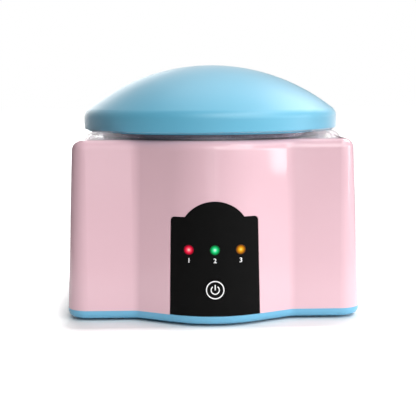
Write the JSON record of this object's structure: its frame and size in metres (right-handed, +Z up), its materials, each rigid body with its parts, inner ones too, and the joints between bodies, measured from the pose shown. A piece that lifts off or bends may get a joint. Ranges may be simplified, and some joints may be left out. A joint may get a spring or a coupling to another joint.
{
  "type": "gel polish remover machine",
  "caption": "Table-top steam gel polish remover: lobed heated housing with a press key, clear five-port finger cover and lift-off domed lid.",
  "frame": {"origin": "on the surface the feet stand on, under the middle of the pot", "axes": "+Z up, front with the control panel towards -Y, +X to the right seen from the front"},
  "size_m": [0.1752, 0.177, 0.1514],
  "materials": {
    "pink_gloss": "high-gloss injection-moulded ABS, pale pink",
    "blue_base": "satin-gloss moulded ABS, light blue",
    "lid_blue": "satin moulded ABS, light blue",
    "feet_rubber": "matt black rubber",
    "seal_rubber": "black silicone",
    "screw_steel": "zinc-plated steel",
    "plated_steel": "plated sheet steel",
    "bare_aluminium": "cast aluminium",
    "dark_coating": "dark non-stick coating on aluminium",
    "black_moulding": "black nylon moulding",
    "white_moulding": "white moulding",
    "panel_black": "satin black fascia moulding",
    "red_lens": "red light pipe",
    "green_lens": "green light pipe",
    "amber_lens": "amber light pipe",
    "board_green": "green glass-epoxy board",
    "led_clear": "clear epoxy",
    "pin_brass": "plated brass",
    "clear_cover": "clear moulded acrylic",
    "lead_sleeve": "glass-fibre sleeved silicone wire",
    "ribbon_grey": "grey ribbon cable"
  },
  "bodies": {
    "machine": {"amber_lamp": "amber_lens", "base_cover": "blue_base", "base_screws": "screw_steel", "board_screws": "screw_steel", "control_board": "board_green", "control_panel": "panel_black", "green_lamp": "green_lens", "heat_shield": "plated_steel", "heater_clamp": "plated_steel", "heater_leads": "lead_sleeve", "heater_plate": "bare_aluminium", "housing": "pink_gloss", "indicator_leds": "led_clear", "inlet_leads": "lead_sleeve", "inlet_pins": "pin_brass", "panel_ribbon": "ribbon_grey", "pot_nuts": "screw_steel", "pot_seal": "seal_rubber", "power_inlet": "black_moulding", "power_switch": "black_moulding", "red_lamp": "red_lens", "rubber_feet": "feet_rubber", "steam_pot": "dark_coating", "supply_board": "board_green", "supply_screws": "screw_steel", "thermal_fuse": "plated_steel", "thermostat": "black_moulding"},
    "finger_cover": {"finger_cover": "clear_cover"},
    "dome_lid": {"dome_lid": "lid_blue"},
    "power_key": {"power_button": "panel_black", "switch_plunger": "white_moulding"}
  },
  "joints": [
    {"name": "finger_cover_lift", "type": "slide", "parent": "machine", "child": "finger_cover", "axis": [0, 0, 1], "range_m": [0, 0.06]},
    {"name": "dome_lid_lift", "type": "slide", "parent": "finger_cover", "child": "dome_lid", "axis": [0, 0, 1], "range_m": [0, 0.06]},
    {"name": "power_key_press", "type": "slide", "parent": "machine", "child": "power_key", "axis": [0, 1, 0], "range_m": [0, 0.0005], "stiffness_N_per_m": 3000, "springref_m": -0.0004}
  ]
}
